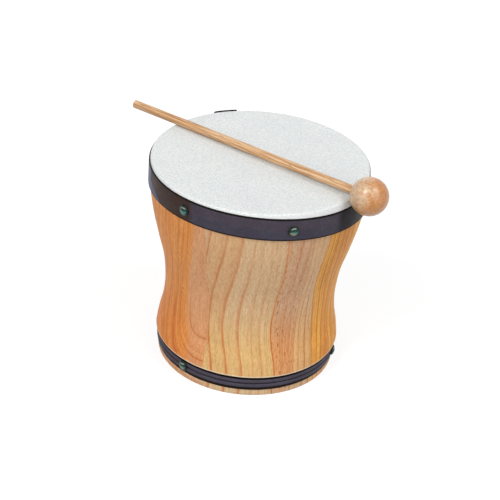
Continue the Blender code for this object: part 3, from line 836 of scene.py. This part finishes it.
class DRUM_OT_head(bpy.types.Operator):
    """Draws the skin over the rim and down behind the band"""

    bl_idname = "drum.head"
    bl_label = "Head skin"

    def execute(self, context):
        sizes = context.scene.drum_sizes
        roll, thick = sizes.skin_roll, sizes.skin_thickness
        centre = (SKIN_RADIUS - roll, HEAD_Z - roll)
        radii = [SKIN_RADIUS - roll - 0.006 * i for i in range(13)]
        section = [
            *(Vector((r, HEAD_Z)) for r in reversed(radii[1:])),
            *arc(centre, roll, 90, 0, 8),
            Vector((SKIN_RADIUS, HEAD_LOW.z)),
            Vector((SKIN_RADIUS - thick, HEAD_LOW.z)),
            *arc(centre, roll - thick, 0, 90, 4),
            Vector((radii[-1], HEAD_Z - thick)),
        ]
        mesh = bmesh.new()
        points = [mesh.verts.new((0, 0, HEAD_Z)), *(mesh.verts.new((p.x, 0, p.y)) for p in section)]
        points.append(mesh.verts.new((0, 0, HEAD_Z - thick)))
        for pair in zip(points, points[1:]):
            mesh.edges.new(pair)
        bmesh.ops.spin(
            mesh, geom=mesh.verts[:] + mesh.edges[:], cent=(0, 0, 0), axis=(0, 0, 1),
            angle=FULL_TURN, steps=160, use_merge=True,
        )
        bmesh.ops.remove_doubles(mesh, verts=mesh.verts, dist=1e-6)
        bmesh.ops.recalc_face_normals(mesh, faces=mesh.faces)
        new_object(
            "head_rawhide", to_drum_axis(mesh), ("head_skin",), "drum",
            skin_material(context.scene.drum_colours),
        )
        return {"FINISHED"}


def rounded_bar(inner, outer, low, high, edge):
    """A strip's section with small rounds on its outer corners."""
    return [
        Vector((inner, high)),
        *arc((outer - edge, high - edge), edge, 90, 0, 4),
        *arc((outer - edge, low + edge), edge, 0, -90, 4),
        Vector((inner, low)),
    ]


def round_end(mesh_data, end_angle, reach):
    """Lowers a strip's top corner into a round over its last stretch."""
    for vertex in mesh_data.verts:
        radius = vertex.co.xy.length
        turn = abs(math.remainder(math.atan2(vertex.co.y, vertex.co.x) - end_angle, FULL_TURN))
        left = reach - turn * radius
        if left > 0 and vertex.co.z > (BAND_TOP_Z + BAND_LOW_Z) / 2:
            vertex.co.z -= reach - math.sqrt(reach**2 - left**2)


def ribbed_bar(inner, face, rib_height):
    """The ribbed band's section: two ribs between narrow slots, and a lip above and below."""
    middle = (RIBBED_LOW.z + RIBBED_HIGH.z) / 2
    half_width, half_pitch = RIB_WIDTH / 2, RIB_PITCH / 2
    section = [
        Vector((inner, RIBBED_HIGH.z)),
        *arc((face - 0.0002, RIBBED_HIGH.z - 0.0002), 0.0002, 90, 0, 2),
    ]
    for centre in (middle + half_pitch, middle - half_pitch):
        section.append(Vector((face, centre + half_width + 0.0003)))
        section.append(Vector((face - RIB_SLOT, centre + half_width)))
        for step in range(13):
            turn = math.pi * step / 12
            out = Vector((math.sin(turn) * rib_height, math.cos(turn) * half_width))
            section.append(Vector((face, centre)) + out)
        section.append(Vector((face - RIB_SLOT, centre - half_width)))
    section.append(Vector((face, middle - half_pitch - half_width - 0.0003)))
    section += arc((face - 0.0002, RIBBED_LOW.z + 0.0002), 0.0002, 0, -90, 2)
    section.append(Vector((inner, RIBBED_LOW.z)))
    return section


def rib_rise(point, face, rib_height):
    """Nothing on the lips and in the slots, and up to a half on the crest of a rib."""
    middle = (RIBBED_LOW.z + RIBBED_HIGH.z) / 2
    if abs(point.z - middle) > (RIB_PITCH + RIB_WIDTH) / 2:
        return 0.0
    return 0.5 * (point.xy.length - face + RIB_SLOT) / (rib_height + RIB_SLOT)


class DRUM_OT_bands(bpy.types.Operator):
    """Bends the smooth band, the strip over its joint and the ribbed band"""

    bl_idname = "drum.bands"
    bl_label = "Vinyl bands"

    def execute(self, context):
        sizes, colours = context.scene.drum_sizes, context.scene.drum_colours
        joint = tack_place(UPPER_TACKS[4])[0]
        inner = SKIN_RADIUS + 0.0001
        outer = SKIN_RADIUS + 0.0003 + sizes.band_thickness
        opening = 0.0022 / outer
        vinyl = vinyl_material(colours, "black_vinyl", 1.15, 0.08, 1.0)
        band = turned(
            rounded_bar(inner, outer, BAND_LOW_Z, BAND_TOP_Z, 0.0003), joint + opening / 2,
            FULL_TURN - opening, 240,
        )
        store(band, "height", lambda point: (point.z - BAND_LOW_Z) / (BAND_TOP_Z - BAND_LOW_Z))
        new_object(
            "upper_band_vinyl", to_drum_axis(follow_band(band)), ("upper_band",), "drum",
            vinyl,
        )

        cover_inner, cover_outer = outer + 0.0002, outer + 0.0011
        angle = COVER_LENGTH / cover_outer
        cover = turned(
            rounded_bar(cover_inner, cover_outer, BAND_LOW_Z, COVER_TOP_Z, 0.0003),
            COVER_ANGLE - angle / 2, angle, 40,
        )
        store(cover, "height", lambda point: (point.z - BAND_LOW_Z) / (COVER_TOP_Z - BAND_LOW_Z))
        round_end(cover, COVER_ANGLE + angle / 2, COVER_TAPER)
        round_end(cover, COVER_ANGLE - angle / 2, COVER_TAPER / 3)
        new_object(
            "band_cover_vinyl", to_drum_axis(follow_band(cover)), ("band_cover_strip",),
            "drum", vinyl,
        )

        face = RIBBED_HIGH.y - sizes.rib_height
        section = ribbed_bar(GROOVE_RADIUS + 0.0001, face, sizes.rib_height)
        joint = tack_place(LOWER_TACKS[2])[0]
        opening = 0.0022 / face
        band = turned(section, joint + opening / 2, FULL_TURN - opening, 240)
        # The height is nothing on the lips and in the slots, which the material paints black as
        # painted shade under the ledge and in the slots.
        store(band, "height", lambda point: rib_rise(point, face, sizes.rib_height))
        new_object(
            "ribbed_band_vinyl", to_drum_axis(band), ("ribbed_band",), "drum",
            vinyl_material(colours, "ribbed_vinyl", 1.3, 0.26, 0.2),
        )
        return {"FINISHED"}


def tack_place(node):
    """The angle, height and outermost radius of a tack's node."""
    low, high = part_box(node)
    corners = [
        Vector(v.co) - Vector((AXIS_X, 0, 0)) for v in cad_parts[node].data.vertices
    ]
    top = max(corners, key=lambda c: c.xy.length)
    return math.atan2(top.y, top.x), (low.z + high.z) / 2, top.xy.length


class DRUM_OT_tacks(bpy.types.Operator):
    """Drives the domed tacks through the bands"""

    bl_idname = "drum.tacks"
    bl_label = "Domed tacks"

    def execute(self, context):
        sizes = context.scene.drum_sizes
        lacquer = lacquer_material(context.scene.drum_colours)
        radius, dome = sizes.tack_radius, sizes.tack_dome
        rim = 0.0003
        ball = (radius**2 + dome**2) / (2 * dome)
        half = math.degrees(math.asin(radius / ball))
        crown = arc((0, rim + dome - ball), ball, 90, 90 - half, 10)
        for node in (*UPPER_TACKS, *LOWER_TACKS):
            angle, height, reach = tack_place(node)
            section = [
                *crown,
                *arc((radius - 0.00015, 0.00015), 0.00015, 0, -90, 3),
                Vector((0.0008, 0)),
                Vector((0.0008, -0.0072)),
                Vector((0, -0.0090)),
            ]
            mesh = bmesh.new()
            points = [mesh.verts.new((p.x, 0, p.y)) for p in section]
            for pair in zip(points, points[1:]):
                mesh.edges.new(pair)
            bmesh.ops.spin(
                mesh, geom=mesh.verts[:] + mesh.edges[:], cent=(0, 0, 0), axis=(0, 0, 1),
                angle=FULL_TURN, steps=32, use_merge=True,
            )
            bmesh.ops.remove_doubles(mesh, verts=mesh.verts, dist=1e-6)
            bmesh.ops.recalc_face_normals(mesh, faces=mesh.faces)
            # How far out and how high across the dome a point lies, which places the painted shade
            # at the rim and the painted reflection.
            store(mesh, "edge", lambda point: point.xy.length / radius)
            store(mesh, "rise", lambda point: -point.x / radius)
            outward = (
                Matrix.Translation((AXIS_X, 0, height))
                @ Matrix.Rotation(angle, 4, "Z")
                @ Matrix.Rotation(math.pi / 2, 4, "Y")
                @ Matrix.Translation((0, 0, reach - dome - rim))
            )
            bmesh.ops.transform(mesh, verts=mesh.verts, matrix=outward)
            new_object(f"{node}_dome", mesh, (node,), "drum", lacquer)
        return {"FINISHED"}


class DRUM_OT_beater(bpy.types.Operator):
    """Turns the beater's ball and dowel"""

    bl_idname = "drum.beater"
    bl_label = "Beater"

    def execute(self, context):
        sizes, colours = context.scene.drum_sizes, context.scene.drum_colours
        ball_radius = (BALL_HIGH.z - BALL_LOW.z) / 2
        centre = Vector((BALL_HIGH.x - ball_radius, 0, (BALL_LOW.z + BALL_HIGH.z) / 2))
        radius = sizes.dowel_radius
        free_end_z = DOWEL_LOW.z + radius
        tilt = math.atan2(centre.z - free_end_z, centre.x - DOWEL_LOW.x)
        reach = (centre.x - DOWEL_LOW.x - radius * math.sin(tilt)) / math.cos(tilt)
        place = Matrix.Translation(centre) @ Matrix.Rotation(-math.pi / 2 - tilt, 4, "Y")

        mouth = math.degrees(math.asin((radius + 0.0001) / ball_radius))
        section = [
            *arc((0, 0), ball_radius, -90, 90 - mouth, 48),
            Vector((radius + 0.0001, ball_radius - 0.019)),
            Vector((0, ball_radius - 0.019)),
        ]
        ball = turned(section, 0, FULL_TURN, 72, closed_section=False)
        bmesh.ops.transform(ball, verts=ball.verts, matrix=place)
        new_object(
            "beater_ball_wood", ball, ("beater_ball",), "beater",
            ball_material(colours, centre),
        )

        end = reach
        section = [
            Vector((0, end)),
            *arc((radius - 0.0004, end - 0.0004), 0.0004, 90, 0, 4),
            Vector((radius, ball_radius - 0.0187)),
            Vector((0, ball_radius - 0.0187)),
        ]
        dowel = turned(section, 0, FULL_TURN, 40, closed_section=False)
        bmesh.ops.transform(dowel, verts=dowel.verts, matrix=place)
        new_object(
            "beater_dowel_wood", dowel, ("beater_dowel",), "beater",
            dowel_material(colours, tilt),
        )
        return {"FINISHED"}


def seen_ray(tree):
    """One for the rays that show the surroundings: seen, reflected or let through."""
    path = tree.nodes.new("ShaderNodeLightPath")
    either = path.outputs["Is Camera Ray"]
    for name in ("Is Glossy Ray", "Is Transmission Ray"):
        node = tree.nodes.new("ShaderNodeMath")
        node.operation = "MAXIMUM"
        tree.links.new(either, node.inputs[0])
        tree.links.new(path.outputs[name], node.inputs[1])
        either = node.outputs[0]
    return either


def sun_light(name, direction, strength, spread, colour):
    """A soft lamp far away in a direction, with the angle that it seems to fill."""
    data = bpy.data.lights.new(name, "SUN")
    data.energy = strength
    data.angle = math.radians(spread)
    data.color = colour
    made = bpy.data.objects.new(name, data)
    bpy.context.scene.collection.objects.link(made)
    made.rotation_mode = "QUATERNION"
    made.rotation_quaternion = Vector(direction).to_track_quat("Z", "Y")
    return made


def pale_paper():
    """White where the lamps reach it, with the object's shadow kept as a pale grey."""
    paper = bpy.data.materials.new("pale_paper")
    paper.use_nodes = True
    tree = paper.node_tree
    surface = tree.nodes["Principled BSDF"]
    surface.inputs["Base Color"].default_value = (0.34, 0.34, 0.34, 1)
    surface.inputs["Roughness"].default_value = 0.9
    surface.inputs["Emission Color"].default_value = (1, 1, 1, 1)
    strength = tree.nodes.new("ShaderNodeMath")
    strength.operation = "MULTIPLY"
    strength.inputs[1].default_value = 0.72
    tree.links.new(seen_ray(tree), strength.inputs[0])
    tree.links.new(strength.outputs[0], surface.inputs["Emission Strength"])
    return paper


class DRUM_OT_stage(bpy.types.Operator):
    """Lays the floor and sets the lamps, the world and the camera"""

    bl_idname = "drum.stage"
    bl_label = "Studio stage"

    def execute(self, context):
        scene = context.scene
        scene.view_settings.view_transform = "Standard"
        floor = bmesh.new()
        bmesh.ops.create_grid(floor, x_segments=1, y_segments=1, size=6)
        mesh = bpy.data.meshes.new("studio_floor")
        floor.to_mesh(mesh)
        floor.free()
        made = bpy.data.objects.new("studio_floor", mesh)
        scene.collection.objects.link(made)
        mesh.materials.append(pale_paper())

        world = bpy.data.worlds.new("studio")
        scene.world = world
        world.use_nodes = True
        tree = world.node_tree
        sky = tree.nodes["Background"]
        sky.inputs["Color"].default_value = (0.93, 0.96, 1.0, 1)
        sky.inputs["Strength"].default_value = 0.30
        white = tree.nodes.new("ShaderNodeBackground")
        white.inputs["Color"].default_value = (1, 1, 1, 1)
        mixed = tree.nodes.new("ShaderNodeMixShader")
        tree.links.new(seen_ray(tree), mixed.inputs[0])
        tree.links.new(sky.outputs[0], mixed.inputs[1])
        tree.links.new(white.outputs[0], mixed.inputs[2])
        tree.links.new(mixed.outputs[0], tree.nodes["World Output"].inputs["Surface"])

        sun_light("key", (-0.112, -0.678, 0.727), 1.45, 20, (1.0, 0.98, 0.96))
        sun_light("second", (0.531, 0.067, 0.845), 1.00, 20, (1.0, 0.98, 0.96))
        sun_light("left_fill", (0.0, -0.97, 0.25), 0.85, 60, (0.97, 0.98, 1.0))
        sun_light("right_fill", (0.935, -0.25, 0.25), 1.05, 60, (0.97, 0.98, 1.0))
        sun_light("back_fill", (-0.50, 0.70, 0.50), 0.35, 40, (1.0, 1.0, 1.0))

        data = bpy.data.cameras.new("photo_camera")
        data.lens = 102.86
        data.sensor_width = 36
        data.clip_start = 0.05
        data.clip_end = 20
        camera = bpy.data.objects.new("photo_camera", data)
        scene.collection.objects.link(camera)
        camera.matrix_world = (
            Matrix.Translation((AXIS_X, 0, 0))
            @ Matrix.Rotation(math.radians(33.9), 4, "Z")
            @ Matrix.Translation((-0.00236, -0.93616, 0.65854))
            @ Matrix.Rotation(math.radians(90 - 31.42), 4, "X")
            @ Matrix.Rotation(math.radians(5.01), 4, "Z")
        )
        scene.camera = camera
        return {"FINISHED"}


class DRUM_PT_panel(bpy.types.Panel):
    """Lists the drum's steps, sizes and colours in the sidebar"""

    bl_idname = "DRUM_PT_panel"
    bl_label = "Waisted bongo drum"
    bl_space_type = "VIEW_3D"
    bl_region_type = "UI"
    bl_category = "Drum"

    def draw(self, context):
        for step in OPERATORS:
            self.layout.operator(step.bl_idname)
        for group in (context.scene.drum_sizes, context.scene.drum_colours):
            for name in group.__annotations__:
                self.layout.prop(group, name)


OPERATORS = (
    DRUM_OT_stage, DRUM_OT_shell, DRUM_OT_head, DRUM_OT_bands, DRUM_OT_tacks, DRUM_OT_beater,
)
CLASSES = (DrumSizes, DrumColours, *OPERATORS, DRUM_PT_panel)


def register():
    for item in CLASSES:
        bpy.utils.register_class(item)
    bpy.types.Scene.drum_sizes = bpy.props.PointerProperty(type=DrumSizes)
    bpy.types.Scene.drum_colours = bpy.props.PointerProperty(type=DrumColours)


def unregister():
    del bpy.types.Scene.drum_colours
    del bpy.types.Scene.drum_sizes
    for item in reversed(CLASSES):
        bpy.utils.unregister_class(item)


def main():
    register()
    bpy.ops.drum.stage()
    bpy.ops.drum.shell()
    bpy.ops.drum.head()
    bpy.ops.drum.bands()
    bpy.ops.drum.tacks()
    bpy.ops.drum.beater()


if __name__ == "__main__":
    main()
